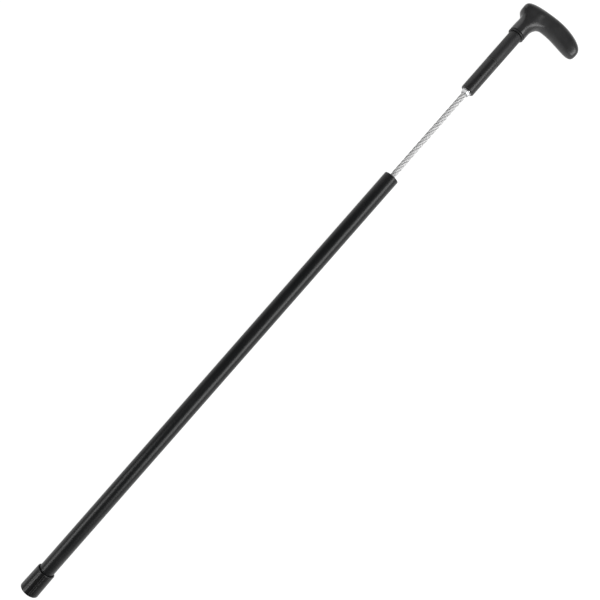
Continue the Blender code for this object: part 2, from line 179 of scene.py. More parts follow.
def blendOn(tree, factor, first, second):
    mix = tree.nodes.new("ShaderNodeMix")
    mix.data_type = "RGBA"
    tree.links.new(factor, mix.inputs["Factor"])
    for socket, value in (("A", first), ("B", second)):
        place = [s for s in mix.inputs if s.name == socket and s.type == "RGBA"][0]
        if isinstance(value, bpy.types.NodeSocket):
            tree.links.new(value, place)
        else:
            place.default_value = (*value, 1)
    return [s for s in mix.outputs if s.type == "RGBA"][0]


def sumOf(tree, first, second, operation="ADD"):
    node = tree.nodes.new("ShaderNodeMath")
    node.operation = operation
    for k, value in enumerate((first, second)):
        if isinstance(value, bpy.types.NodeSocket):
            tree.links.new(value, node.inputs[k])
        else:
            node.inputs[k].default_value = value
    return node.outputs["Value"]


def bumpOn(tree, shader, heights):
    # heights are (height, strength, depth in metres), each bump on top of the one before
    normal = None
    for height, strength, depth in heights:
        bump = tree.nodes.new("ShaderNodeBump")
        bump.inputs["Strength"].default_value = strength
        bump.inputs["Distance"].default_value = depth
        tree.links.new(height, bump.inputs["Height"])
        if normal:
            tree.links.new(normal, bump.inputs["Normal"])
        normal = bump.outputs["Normal"]
    tree.links.new(normal, shader.inputs["Normal"])


def splitPoint(tree, point):
    parts = tree.nodes.new("ShaderNodeSeparateXYZ")
    tree.links.new(point, parts.inputs["Vector"])
    return parts.outputs


def fromAxis(tree):
    # distance of a point from the stick's own axis, in metres
    flat = localPoint(tree, (0, 1, 1))
    length = tree.nodes.new("ShaderNodeVectorMath")
    length.operation = "LENGTH"
    tree.links.new(flat, length.inputs[0])
    return length.outputs["Value"]


def between(tree, value, low, high):
    # 0 at low, 1 at high
    node = tree.nodes.new("ShaderNodeMapRange")
    node.inputs["From Min"].default_value = low
    node.inputs["From Max"].default_value = high
    tree.links.new(value, node.inputs["Value"])
    return node.outputs["Result"]


# Shaft tube: satin black lacquer, worn bright on the rim of its mouth

tube = {
    "wall": 1.47 * mm,
    "mouthRound": 0.62 * mm,
    "footRound": 0.5 * mm,
    "sides": 144,
    "shine": 0.33,
    "colour": (0.0062, 0.0068, 0.0071),
    "dustColour": (0.013, 0.013, 0.0135),
    "bareMetal": (0.30, 0.30, 0.31),
    "roughness": (0.29, 0.38),
    "wearDepth": 0.9 * mm,
}


def tubeLacquer(mouth):
    material, tree, shader = newFinish("tubeLacquer", Specular_IOR_Level=tube["shine"])
    point = localPoint(tree)
    drawn = localPoint(tree, (0.05, 1, 1))  # lengthwise streaks
    clouds = noiseOn(tree, point, 22, 4)
    specks = noiseOn(tree, point, 1500, 2)
    streaks = noiseOn(tree, drawn, 900, 3, 0.6)
    peel = noiseOn(tree, point, 650, 2)
    dust = rampOn(tree, sumOf(tree, clouds, specks, "MULTIPLY"), ((0.24, 0), (0.42, 1)))
    colour = blendOn(tree, dust, tube["colour"], tube["dustColour"])
    edge = between(tree, splitPoint(tree, point)["X"], mouth - tube["wearDepth"], mouth)
    chips = noiseOn(tree, point, 420, 4)
    worn = rampOn(tree, sumOf(tree, edge, chips, "MULTIPLY"), ((0.36, 0), (0.50, 1)))
    tree.links.new(blendOn(tree, worn, colour, tube["bareMetal"]), shader.inputs["Base Color"])
    tree.links.new(worn, shader.inputs["Metallic"])
    low, high = tube["roughness"]
    tree.links.new(rampOn(tree, streaks, ((0.3, low), (0.75, high))), shader.inputs["Roughness"])
    bumpOn(tree, shader, ((peel, 0.10, 0.05 * mm), (streaks, 0.06, 0.02 * mm)))
    return material


def makeTube():
    low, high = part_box("shaft_tube")
    bore = high.z - tube["wall"]
    corners = (
        (low.x, bore, tube["footRound"] / 2),
        (low.x, high.z, tube["footRound"]),
        (high.x, high.z, tube["mouthRound"]),
        (high.x, bore, tube["mouthRound"]),
    )
    bm = turnOutline(softCorners(corners, 6), tube["sides"])
    lacquer = tubeLacquer(high.x)
    return makePiece("shaftTube", bm, lacquer, "shaft", ["shaft_tube"], 50)


makeTube()
print("shaft tube made")


# Rubber tip: fine ribs along it, a plain foot band, a tread on the sole

tip = {
    "ribs": 34,
    "ribTop": 0.78,  # flat share of a rib, from its middle to the next groove
    "grooveShare": 0.22,
    "grooveDepth": 0.28 * mm,
    "ribFade": 1.6 * mm,  # over which a rib rises from the plain band
    "footBand": 2.6 * mm,
    "headBand": 1.2 * mm,
    "wall": 2.75 * mm,
    "soleThickness": 9 * mm,
    "treadRings": (4.0, 8.0, 12.0),  # radii in millimetres
    "treadDepth": 1.2 * mm,
    "treadWidth": 1.3 * mm,
    "mouthBevel": (1.5 * mm, 1.5 * mm),  # along and across
    "footRound": 1.7 * mm,
    "rimRound": 0.7 * mm,
    "cutRound": 0.2 * mm,  # at the sharp corners of the tread and the mouth
    "scuffHeight": 5 * mm,
    "shine": 0.40,
    "colour": (0.0034, 0.0034, 0.0036),
    "dustColour": (0.009, 0.009, 0.0087),
    "roughness": (0.26, 0.36),
}


def tipRubber(foot):
    material, tree, shader = newFinish("tipRubber", Specular_IOR_Level=tip["shine"])
    point = localPoint(tree)
    grain = noiseOn(tree, point, 1900, 3, 0.6)
    clouds = noiseOn(tree, localPoint(tree, (0.06, 1, 1)), 420, 4, 0.6)  # dust lies along the ribs
    along = splitPoint(tree, point)["X"]
    rise = between(tree, along, foot, foot + tip["scuffHeight"])
    ground = rampOn(tree, rise, ((0.0, 1), (1.0, 0)))
    scuff = rampOn(tree, sumOf(tree, clouds, ground, "MULTIPLY"), ((0.34, 0), (0.62, 1)))
    dust = rampOn(tree, clouds, ((0.60, 0), (0.85, 0.35)))
    colour = blendOn(tree, dust, tip["colour"], tip["dustColour"])
    tree.links.new(blendOn(tree, scuff, colour, tip["dustColour"]), shader.inputs["Base Color"])
    low, high = tip["roughness"]
    tree.links.new(rampOn(tree, clouds, ((0.3, low), (0.7, high))), shader.inputs["Roughness"])
    bumpOn(tree, shader, ((grain, 0.08, 0.03 * mm),))
    return material


def makeTip():
    low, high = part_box("rubber_tip")
    foot = high.z
    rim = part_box("shaft_tube")[1].z + tip["wall"]
    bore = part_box("shaft_tube")[1].z + 0.02 * mm
    ribStart, ribEnd = low.x + tip["footBand"], high.x - tip["headBand"]
    cutRound = tip["cutRound"]
    corners = [(low.x, 0)]
    for radius in tip["treadRings"]:  # grooves cut in the sole
        r, half = radius * mm, tip["treadWidth"] / 2
        corners += [
            (low.x, r - half, cutRound),
            (low.x + tip["treadDepth"], r - half * 0.6, cutRound),
            (low.x + tip["treadDepth"], r + half * 0.6, cutRound),
            (low.x, r + half, cutRound),
        ]
    bevelIn, bevelOut = tip["mouthBevel"]
    corners += [
        (low.x, foot - 0.05 * mm, tip["footRound"]),
        (high.x, rim, tip["rimRound"]),
        (high.x, bore + bevelOut, cutRound),
        (high.x - bevelIn, bore, cutRound),
        (low.x + tip["soleThickness"], bore),
        (low.x + tip["soleThickness"], 0),
    ]
    path = softCorners(corners, 4)
    # the outer wall is the one long step along X, and the rows of points for the ribs go in it
    wall = [k for k in range(1, len(path)) if path[k].x - path[k - 1].x > 20 * mm][0]
    start, end = path[wall - 1], path[wall]
    fade, fadeRows, rows = tip["ribFade"], 4, 14
    straight = ribEnd - ribStart - 2 * fade
    places = [ribStart + fade * k / fadeRows for k in range(fadeRows + 1)]
    places += [ribStart + fade + straight * k / rows for k in range(1, rows)]
    places += [ribEnd - fade * k / fadeRows for k in range(fadeRows, -1, -1)]
    inWall = [x for x in places if start.x < x < end.x]
    path[wall:wall] = [start.lerp(end, (x - start.x) / (end.x - start.x)) for x in inWall]

    def ribbed(x, radius, angle):
        if radius < bore + 1.2 * mm or not ribStart < x < ribEnd:
            return radius
        rise = min(1, (x - ribStart) / fade, (ribEnd - x) / fade)
        half = math.pi / tip["ribs"]
        offFlat = (angle + half) % (2 * half) - half
        flat = radius * math.cos(half) / math.cos(offFlat)  # flat-topped ribs
        groove = max(0, abs(offFlat) / half - tip["ribTop"]) / tip["grooveShare"]
        return radius + (flat - radius - tip["grooveDepth"] * groove) * rise

    bm = turnOutline(path, tip["ribs"] * 10, ribbed)
    rubber = tipRubber(low.x)
    return makePiece("rubberTip", bm, rubber, "shaft", ["rubber_tip"], 25)


makeTip()
print("rubber tip made")


# Wire rope: six strands of twelve outer wires laid round a seventh

rope = {
    "strands": 6,
    "lay": 57 * mm,  # one turn of a strand round the rope
    "wireLay": -24 * mm,  # one turn of a wire round its strand, the other way
    "outerWires": 12,
    "wirePoints": 4,  # mesh points round the outside of each wire
    "step": 1.7 * mm,  # between rings of points along the rope
    "colour": (0.62, 0.62, 0.62),
    # painted shade, the colour deep in the valleys between the strands
    "valleyShadeColour": (0.36, 0.36, 0.36),
    "metal": 0.1,
    "roughness": (0.45, 0.6),
}


def ropeWire():
    material, tree, shader = newFinish("ropeWire", Metallic=rope["metal"])
    point = localPoint(tree)
    drawn = localPoint(tree, (0.12, 1, 1))
    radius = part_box("wire_rope")[1].z
    # painted shade: the colour darkens towards the rope's axis, into the valleys between strands
    # and wires, with random stains mixed in
    depth = between(tree, fromAxis(tree), radius * 0.62, radius * 0.90)
    stain = noiseOn(tree, point, 260, 4, 0.6)
    grime = sumOf(tree, stain, 0.3, "MULTIPLY")
    stops = ((0.25, rope["valleyShadeColour"]), (0.85, rope["colour"]))
    shade = rampOn(tree, sumOf(tree, depth, grime), stops)
    tree.links.new(shade, shader.inputs["Base Color"])
    low, high = rope["roughness"]
    lines = noiseOn(tree, drawn, 2600, 2)
    tree.links.new(rampOn(tree, lines, ((0.3, low), (0.7, high))), shader.inputs["Roughness"])
    bumpOn(tree, shader, ((lines, 0.08, 0.02 * mm),))
    return material


def strandMesh(start, end, coilRadius, strandRadius, phase):
    # a bundle of wires swept along a helix round the X axis
    wire = strandRadius / 5
    wireReach = 4 * wire  # middle of the strand to the middle of an outer wire
    pitch = tau / rope["lay"] if coilRadius else 0
    wireTurn = tau / rope["wireLay"] if coilRadius else -tau / rope["wireLay"]
    across = rope["outerWires"] * rope["wirePoints"]
    count = round((end - start) / rope["step"])
    bm = bmesh.new()
    rings = []
    for i in range(count + 1):
        x = start + (end - start) * i / count
        a = phase + pitch * (x - start)
        outward = Vector((0, math.cos(a), math.sin(a)))
        slope = coilRadius * pitch
        ahead = Vector((1, -slope * math.sin(a), slope * math.cos(a))).normalized()
        aside = ahead.cross(outward)
        centre = Vector((x, 0, 0)) + outward * coilRadius
        ring = []
        for j in range(across):
            turn = tau * j / across
            wireShare = (j % rope["wirePoints"]) / rope["wirePoints"]
            offWire = wireShare * tau / rope["outerWires"] - math.pi / rope["outerWires"]
            bulge = max(wire**2 - (wireReach * math.sin(offWire)) ** 2, 0)
            r = wireReach * math.cos(offWire) + math.sqrt(bulge)
            b = turn + wireTurn * (x - start)
            place = centre + outward * (r * math.cos(b)) + aside * (r * math.sin(b))
            ring.append(bm.verts.new(place))
        rings.append(ring)
    for first, second in zip(rings, rings[1:]):
        for j in range(across):
            after = (j + 1) % across
            bm.faces.new((first[j], first[after], second[after], second[j]))
    bm.faces.new(rings[0])
    bm.faces.new(rings[-1])
    return bm


def makeRope():
    low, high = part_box("wire_rope")
    strandRadius = high.z / 3
    wire = ropeWire()
    coilRadius = high.z - strandRadius
    for k in range(rope["strands"]):
        bm = strandMesh(low.x, high.x, coilRadius, strandRadius, tau * k / rope["strands"])
        makePiece("ropeStrand%d" % (k + 1), bm, wire, "handle_set", ["wire_rope"], 80)
    bm = strandMesh(low.x, high.x, 0, strandRadius * 0.98, 0)
    makePiece("ropeHeartStrand", bm, wire, "handle_set", ["wire_rope"], 80)


makeRope()
print("wire rope made,", rope["strands"], "strands and a heart strand")


# Rope fittings: chrome nut and washer where the rope enters the grip, and the cap on its free end

fittings = {
    "ropeHole": 5.05 * mm,
    "nutFlat": 6.6 * mm,  # axis to a flat
    "nutCorner": 7.45 * mm,
    "nutChamfer": 0.9 * mm,
    "nutNose": (1.6, 2.1),  # length and drop of its rounded front, in chamfers
    "nutSides": 144,
    "washerSides": 128,
    "capSides": 96,
    "headLength": 5.2 * mm,
    "washerHole": 6.3 * mm,
    "capGrooves": (0.36, 0.52, 0.68),  # share of the cap's length
    "capGrooveDepth": 0.35 * mm,
    "capGrooveWidth": (1.0 * mm, 0.5 * mm),  # half of it, at the surface and at the bottom
    "capEnd": 5 * mm,  # solid metal past the rope
    "chromeColour": (0.52, 0.525, 0.53),
    "steelColour": (0.56, 0.56, 0.57),
    "brightColour": (0.74, 0.74, 0.75),
}


def chromePlate():
    material, tree, shader = newFinish("chromePlate", Metallic=1.0)
    point = localPoint(tree)
    mist = noiseOn(tree, point, 500, 4, 0.6)
    pits = noiseOn(tree, point, 2600, 2)
    clear = fittings["chromeColour"]
    dull = tuple(c * 0.8 for c in clear)
    shade = rampOn(tree, mist, ((0.25, dull), (0.65, clear)))
    tree.links.new(shade, shader.inputs["Base Color"])
    tree.links.new(rampOn(tree, mist, ((0.3, 0.10), (0.8, 0.24))), shader.inputs["Roughness"])
    bumpOn(tree, shader, ((pits, 0.04, 0.02 * mm),))
    return material


def turnedSteel(name, colour, low, high):
    # steel as it leaves the lathe: fine rings round the axis, slight stains
    material, tree, shader = newFinish(name, Metallic=1.0)
    rings = noiseOn(tree, localPoint(tree, (1, 0.02, 0.02)), 3500, 2)
    stain = noiseOn(tree, localPoint(tree), 180, 4, 0.6)
    shade = rampOn(tree, stain, ((0.3, tuple(c * 0.72 for c in colour)), (0.7, colour)))
    tree.links.new(shade, shader.inputs["Base Color"])
    tree.links.new(rampOn(tree, rings, ((0.3, low), (0.7, high))), shader.inputs["Roughness"])
    bumpOn(tree, shader, ((rings, 0.12, 0.02 * mm),))
    return material


def makeFittings():
    chrome = chromePlate()
    low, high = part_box("rope_nut")
    hole, flat, corner = fittings["ropeHole"], fittings["nutFlat"], fittings["nutCorner"]
    nose, seat = low.x, low.x + fittings["headLength"]
    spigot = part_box("rope_socket")[1].z
    chamfer = fittings["nutChamfer"]
    (noseLength, noseDrop), noseSteps = fittings["nutNose"], 8
    outside = [(nose, corner - noseDrop * chamfer, 0.15 * mm)]
    for k in range(1, noseSteps + 1):
        along = chamfer * k / noseSteps * noseLength
        outside.append((nose + along, corner - noseDrop * chamfer * (1 - k / noseSteps)))
    outside += [
        (nose + fittings["headLength"] * 0.50, corner),
        (seat - chamfer * 0.6, corner),
        (seat - chamfer * 0.45, corner - 0.25 * chamfer),
        (seat - 0.05 * mm, corner - 0.9 * chamfer),
        (seat, spigot),
        (high.x, spigot, 0.3 * mm),
    ]
    path = softCorners([(nose, hole, 0.3 * mm)] + outside + [(high.x, hole)], 3)

    def hexagon(x, radius, angle):
        if x > seat or radius < spigot:
            return radius
        toFlat = (angle + math.pi / 6) % (math.pi / 3) - math.pi / 6
        return min(radius, flat / math.cos(toFlat))

    bm = turnOutline(path, fittings["nutSides"], hexagon)
    makePiece("ropeNut", bm, chrome, "handle_set", ["rope_nut"], 22)

    low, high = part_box("nut_washer")
    bore = fittings["washerHole"]
    corners = (
        (low.x, bore, 0.2 * mm),
        (low.x, high.z, 0.45 * mm),
        (high.x, high.z, 0.45 * mm),
        (high.x, bore, 0.2 * mm),
    )
    bm = turnOutline(softCorners(corners, 5), fittings["washerSides"])
    makePiece("nutWasher", bm, chrome, "handle_set", ["nut_washer"], 50)

    low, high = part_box("rope_end_cap")
    length, depth = high.x - low.x, fittings["capGrooveDepth"]
    top, bottom = fittings["capGrooveWidth"]
    floor = low.x + fittings["capEnd"]
    corners = [(low.x, 0), (low.x, high.z, 2.2 * mm)]
    for share in fittings["capGrooves"]:  # pressed rings that hold the rope
        x = low.x + length * share
        corners += [
            (x - top, high.z, 0.3 * mm),
            (x - bottom, high.z - depth, 0.2 * mm),
            (x + bottom, high.z - depth, 0.2 * mm),
            (x + top, high.z, 0.3 * mm),
        ]
    corners += [(high.x, high.z, 0.9 * mm), (high.x, hole, 0.3 * mm), (floor, hole), (floor, 0)]
    bright = turnedSteel("turnedBrightSteel", fittings["brightColour"], 0.22, 0.34)
    bm = turnOutline(softCorners(corners, 3), fittings["capSides"])
    makePiece("ropeEndCap", bm, bright, "handle_set", ["rope_end_cap"], 50)
    return bright


brightSteel = makeFittings()
print("nut, washer and rope cap made")


# Grip: two sleeves with a friction ring between them, lock screw, stop collar and gasket

grip = {
    "sides": 128,
    "coreHole": 8.3 * mm,
    "sleeveFloor": 3 * mm,  # lower sleeve's end wall, behind the washer
    "sleeveRound": 0.7 * mm,
    "nutEndRound": 1.3 * mm,
    "screwHole": 1.4 * mm,
    "screwInset": 27 * mm,
    "hexKey": 0.62 * mm,  # half of the hexagon socket's width
    "ringCrown": 0.35 * mm,
    "collarRound": 0.75 * mm,
    "gasketRound": 0.25 * mm,
    "screwRim": (0.3 * mm, 0.15 * mm),  # bevels at the screw's foot and head
    "socketDepth": 1.0 * mm,
    "shine": 0.33,
    "lowerColour": (0.016, 0.016, 0.0165),
    "upperColour": (0.020, 0.020, 0.0205),
    "lowerRoughness": (0.30, 0.42),
    "upperRoughness": (0.44, 0.58),
    "scuffColour": (0.05, 0.05, 0.052),
    "ringColour": (0.030, 0.030, 0.030),
    "gasketColour": (0.004, 0.004, 0.004),
    "screwColour": (0.16, 0.16, 0.165),
}


def sleeveCoat(name, colour, roughness, peelScale):
    # dark coat over turned metal: faint lathe rings, scuffs that run along the slide
    material, tree, shader = newFinish(name, Specular_IOR_Level=grip["shine"])
    point = localPoint(tree)
    rings = noiseOn(tree, localPoint(tree, (1, 0.03, 0.03)), 2200, 2)
    slide = noiseOn(tree, localPoint(tree, (0.03, 1, 1)), 1300, 3, 0.6)
    peel = noiseOn(tree, point, peelScale, 3)
    scuff = rampOn(tree, slide, ((0.62, 0), (0.80, 0.6)))
    tree.links.new(blendOn(tree, scuff, colour, grip["scuffColour"]), shader.inputs["Base Color"])
    low, high = roughness
    tree.links.new(rampOn(tree, slide, ((0.3, low), (0.75, high))), shader.inputs["Roughness"])
    bumpOn(tree, shader, ((rings, 0.06, 0.02 * mm), (peel, 0.10, 0.04 * mm)))
    return material


def softRubber(name, colour, roughness):
    material, tree, shader = newFinish(name, Specular_IOR_Level=0.4)
    grain = noiseOn(tree, localPoint(tree), 1600, 3, 0.6)
    clouds = noiseOn(tree, localPoint(tree), 160, 3)
    pale = tuple(c * 1.9 for c in colour)
    tree.links.new(rampOn(tree, clouds, ((0.3, colour), (0.8, pale))), shader.inputs["Base Color"])
    rough = rampOn(tree, clouds, ((0.3, roughness), (0.7, min(roughness + 0.12, 1))))
    tree.links.new(rough, shader.inputs["Roughness"])
    bumpOn(tree, shader, ((grain, 0.2, 0.04 * mm),))
    return material


def drillThrough(piece, x, radius, low, high):
    # cuts a round hole along Z and applies it, so the mesh stays whole
    mesh = bpy.data.meshes.new("drill")
    bm = bmesh.new()
    bmesh.ops.create_cone(
        bm, cap_ends=True, segments=32, radius1=radius, radius2=radius, depth=high - low
    )
    bmesh.ops.translate(bm, verts=bm.verts, vec=(x, 0, (low + high) / 2))
    bm.to_mesh(mesh)
    bm.free()
    drill = bpy.data.objects.new("drill", mesh)
    bpy.context.collection.objects.link(drill)
    cut = piece.modifiers.new("screwHole", "BOOLEAN")
    cut.operation = "DIFFERENCE"
    cut.solver = "EXACT"
    cut.object = drill
    graph = bpy.context.evaluated_depsgraph_get()
    drilled = bpy.data.meshes.new_from_object(piece.evaluated_get(graph))
    piece.modifiers.clear()
    piece.data = drilled
    bpy.data.objects.remove(drill)


def ringCorners(low, high, nearRound, farRound):
    # section of a plain ring round the core
    hole = grip["coreHole"]
    return (low.x, hole), (low.x, high.z, nearRound), (high.x, high.z, farRound), (high.x, hole)


def makeGrip():
    satin = sleeveCoat("lowerSleeveCoat", grip["lowerColour"], grip["lowerRoughness"], 900)
    matt = sleeveCoat("upperSleeveCoat", grip["upperColour"], grip["upperRoughness"], 1500)
    elastic = softRubber("gripRubber", grip["ringColour"], 0.4)
    sides, core, sleeveRound = grip["sides"], grip["coreHole"], grip["sleeveRound"]

    low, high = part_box("lower_sleeve")
    floor, spigotHole = grip["sleeveFloor"], fittings["washerHole"]
    corners = (
        (low.x, spigotHole, 0.2 * mm),
        (low.x, high.z, grip["nutEndRound"]),
        (high.x, high.z, sleeveRound),
        (high.x, core),
        (low.x + floor, core),
        (low.x + floor, spigotHole),
    )
    bm = turnOutline(softCorners(corners, 6), sides)
    sleeve = makePiece("lowerSleeve", bm, satin, "handle_set", ["lower_sleeve"], 50)
    screwPlace = low.x + grip["screwInset"]
    drillThrough(sleeve, screwPlace, grip["screwHole"], core - 1 * mm, high.z + 2 * mm)

    low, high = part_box("upper_sleeve")
    bm = turnOutline(softCorners(ringCorners(low, high, sleeveRound, sleeveRound), 6), sides)
    makePiece("upperSleeve", bm, matt, "handle_set", ["upper_sleeve"], 50)

    low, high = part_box("friction_ring")
    crown = grip["ringCrown"]
    bm = turnOutline(softCorners(ringCorners(low, high, crown, crown), 5), sides)
    makePiece("frictionRing", bm, elastic, "slide_ring", ["friction_ring"], 60)

    low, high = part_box("stop_collar")
    seatRound = grip["collarRound"]
    bm = turnOutline(softCorners(ringCorners(low, high, seatRound, seatRound / 2), 6), sides)
    makePiece("stopCollar", bm, satin, "handle_set", ["stop_collar"], 50)

    low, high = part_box("neck_gasket")
    edge = grip["gasketRound"]
    gasket = softRubber("gasketRubber", grip["gasketColour"], 0.8)
    bm = turnOutline(softCorners(ringCorners(low, high, edge, edge), 4), sides)
    makePiece("neckGasket", bm, gasket, "handle_set", ["neck_gasket"], 60)

    makeLockScrew()


def makeLockScrew():
    # grub screw with a hexagon socket, standing below the sleeve's surface
    low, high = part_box("lock_screw")
    centre, radius = (low + high) / 2, (high.x - low.x) / 2
    key, socketDepth = grip["hexKey"], grip["socketDepth"]
    footBevel, headBevel = grip["screwRim"]
    profile = (  # height, radius, and whether it is the hexagon
        (low.z, 0, False),
        (low.z, radius * 0.7, False),
        (low.z + footBevel, radius, False),
        (high.z - headBevel, radius, False),
        (high.z, radius - headBevel, False),
        (high.z, key, True),
        (high.z - socketDepth, key, True),
        (high.z - socketDepth - 0.25 * mm, 0, False),
    )
    bm = bmesh.new()
    sides, rings = 48, []
    for z, r, isHex in profile:
        if r == 0:
            rings.append([bm.verts.new((centre.x, centre.y, z))])
            continue
        ring = []
        for k in range(sides):
            angle = tau * k / sides
            toFlat = (angle + math.pi / 6) % (math.pi / 3) - math.pi / 6
            reach = r / math.cos(toFlat) if isHex else r
            place = (centre.x + reach * math.cos(angle), centre.y + reach * math.sin(angle), z)
            ring.append(bm.verts.new(place))
        rings.append(ring)
    for first, second in zip(rings, rings[1:]):
        for k in range(sides):
            after = (k + 1) % sides
            corner = [first[0]] if len(first) == 1 else [first[k], first[after]]
            corner += [second[0]] if len(second) == 1 else [second[after], second[k]]
            bm.faces.new(corner)
    dark = turnedSteel("lockScrewSteel", grip["screwColour"], 0.3, 0.45)
    makePiece("lockScrew", bm, dark, "handle_set", ["lock_screw"], 25)


makeGrip()
print("grip made")


# Handle: moulded plastic, smooth, with the joint of the mould showing faintly on its middle plane

handle = {
    "neckRound": 0.6 * mm,
    "neckLength": 16 * mm,
    "armRise": 43.2 * mm,  # neck face to the middle of the arm
    "armHeight": 28.6 * mm,
    "armWidth": 28.4 * mm,
    "armReach": 89.8 * mm,
    "noseReach": 21.1 * mm,
    "smoothing": 4,  # rounds of subdivision
    "around": 8,  # control points round the arm and round the neck
    "jointRise": 22 * mm,  # neck face to where neck and arm meet
    "blending": ((15 * mm, 24), (11 * mm, 30), (8 * mm, 30)),  # reach from there, rounds
    "hubEdge": (5 * mm, 18 * mm, 0.13),  # where the arm thins, and by how much of its width
    "hull": 1.108,  # control points to the smooth form inside them
    "shine": 0.46,
    "colour": (0.020, 0.020, 0.0205),
    "paleColour": (0.030, 0.030, 0.0305),
    "roughness": (0.27, 0.38),
    # nose to far end: share of the nose's reach, of the arm's reach, lift, height and width
    "sections": (
        (0.97, 0.00, -0.18, 0.30, 0.36),
        (0.91, 0.00, -0.20, 0.60, 0.80),
        (0.60, 0.00, -0.21, 0.89, 1.00),
        (0.00, 0.00, -0.13, 0.98, 1.00),
        (0.00, 0.22, -0.05, 0.99, 1.00),
        (0.00, 0.42, -0.01, 1.00, 1.00),
        (0.00, 0.62, -0.06, 1.02, 1.00),
        (0.00, 0.81, -0.17, 0.98, 0.95),
        (0.00, 0.94, -0.27, 0.80, 0.80),
        (0.00, 1.01, -0.32, 0.44, 0.42),
    ),
}


def handlePlastic():
    material, tree, shader = newFinish("handlePlastic", Specular_IOR_Level=handle["shine"])
    point = localPoint(tree)
    clouds = noiseOn(tree, point, 60, 4, 0.55)
    spark = noiseOn(tree, point, 1100, 3, 0.6)  # eroded mould texture
    hand = noiseOn(tree, point, 18, 3)  # polished by the hand in places
    shade = rampOn(tree, clouds, ((0.35, handle["colour"]), (0.75, handle["paleColour"])))
    tree.links.new(shade, shader.inputs["Base Color"])
    low, high = handle["roughness"]
    tree.links.new(rampOn(tree, hand, ((0.35, low), (0.65, high))), shader.inputs["Roughness"])
    side = tree.nodes.new("ShaderNodeMath")
    side.operation = "ABSOLUTE"
    tree.links.new(splitPoint(tree, point)["Z"], side.inputs[0])
    seam = rampOn(tree, between(tree, side.outputs["Value"], 0, 0.30 * mm), ((0.0, 1), (1.0, 0)))
    bumpOn(tree, shader, ((spark, 0.22, 0.05 * mm), (seam, 0.5, 0.05 * mm)))
    return material


def handleCage(neckFace, neckRadius):
    # control mesh: rings along the arm, and a neck joined to an opening in its underside
    bm = bmesh.new()
    around = handle["around"]
    turns = [tau * k / around for k in range(around)]
    front, middle, back, under = 2, 3, 4, 4  # sections at the opening, and the arm's lowest point
    arm = []
    for noseShare, armShare, lift, tall, wide in handle["sections"]:
        y = noseShare * handle["noseReach"] - armShare * handle["armReach"]
        x = neckFace + handle["armRise"] + lift * handle["armHeight"]
        up = tall * handle["armHeight"] / 2 * handle["hull"]
        out = wide * handle["armWidth"] / 2 * handle["hull"]
        arm.append([bm.verts.new((x + up * math.cos(a), y, out * math.sin(a))) for a in turns])
    for i in range(len(arm) - 1):
        for k in range(around):
            if i in (front, middle) and k in (under - 1, under):
                continue  # opening for the neck
            after = (k + 1) % around
            bm.faces.new((arm[i][k], arm[i][after], arm[i + 1][after], arm[i + 1][k]))
    bm.faces.new(arm[0])
    bm.faces.new(arm[-1])
    left, right = under - 1, under + 1
    above = [  # round the opening
        arm[front][under],
        arm[front][left],
        arm[middle][left],
        arm[back][left],
        arm[back][under],
        arm[back][right],
        arm[middle][right],
        arm[front][right],
    ]
    bm.verts.remove(arm[middle][under])
    full, edge, length = neckRadius * handle["hull"], handle["neckRound"] * 2, handle["neckLength"]
    neck = (  # rise above the neck's face, radius
        (length, full),
        (length / 2, full),
        (edge, full),
        (0, full),
        (0, full - edge),
        (0, full / 2),
    )
    for rise, radius in neck:
        ring = []
        for a in turns:
            place = (neckFace + rise, radius * math.cos(a), radius * math.sin(a))
            ring.append(bm.verts.new(place))
        for k in range(around):
            after = (k + 1) % around
            bm.faces.new((above[k], above[after], ring[after], ring[k]))
        above = ring
    bm.faces.new(above)
    return bm


def makeHandle():
    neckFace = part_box("handle")[0].x
    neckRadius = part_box("stop_collar")[1].z
    cageMesh = bpy.data.meshes.new("handleCage")
    cage = handleCage(neckFace, neckRadius)
    cage.to_mesh(cageMesh)
    cage.free()
    rough = bpy.data.objects.new("handleCage", cageMesh)
    bpy.context.collection.objects.link(rough)
    smooth = rough.modifiers.new("smoothForm", "SUBSURF")
    smooth.levels = smooth.render_levels = handle["smoothing"]
    form = bmesh.new()
    form.from_object(rough, bpy.context.evaluated_depsgraph_get())
    bpy.data.objects.remove(rough)
    for grow, rounds in handle["blending"]:  # softens the corner between neck and arm
        joint = []
        for vert in form.verts:
            offJoint = abs(vert.co.x - neckFace - handle["jointRise"])
            if offJoint < grow and abs(vert.co.y) < neckRadius + grow:
                joint.append(vert)
        for _ in range(rounds):
            bmesh.ops.smooth_vert(
                form, verts=joint, factor=0.5, use_axis_x=True, use_axis_y=True, use_axis_z=True
            )
    start, end, thinner = handle["hubEdge"]
    for vert in form.verts:  # the arm is slimmer than the hub that takes the neck
        share = min(max((-vert.co.y - start) / (end - start), 0), 1)
        crest = (vert.co.z / handle["armWidth"] * 2) ** 2
        vert.co.z *= 1 - thinner * crest * share * share * (3 - 2 * share)
    plastic = handlePlastic()
    return makePiece("handle", form, plastic, "handle_set", ["handle"], 180)


makeHandle()
print("handle made")


# Pieces that keep their CAD shape and only get a finish

inside = {
    "steelNodes": ("tip_seat_disc", "plug_pin", "grip_core", "handle_stud"),
    "brightNodes": ("rope_socket", "socket_pin"),
    "nylonNodes": ("end_plug",),
    "rubberNodes": ("rope_bumper",),
    "brassNodes": ("threaded_insert",),
    "rubberColour": (0.016, 0.016, 0.016),
    "nylonColour": (0.045, 0.045, 0.047),
    "brassColour": (0.72, 0.52, 0.26),
}


def mouldedNylon():
    material, tree, shader = newFinish("mouldedNylon", Specular_IOR_Level=0.5)
    cloudy = noiseOn(tree, localPoint(tree), 210, 3)
    grain = noiseOn(tree, localPoint(tree), 1700, 3)
    colour = inside["nylonColour"]
    deep = tuple(c * 0.7 for c in colour)
    tree.links.new(rampOn(tree, cloudy, ((0.3, deep), (0.7, colour))), shader.inputs["Base Color"])
    tree.links.new(rampOn(tree, cloudy, ((0.3, 0.38), (0.7, 0.5))), shader.inputs["Roughness"])
    bumpOn(tree, shader, ((grain, 0.12, 0.03 * mm),))
    return material


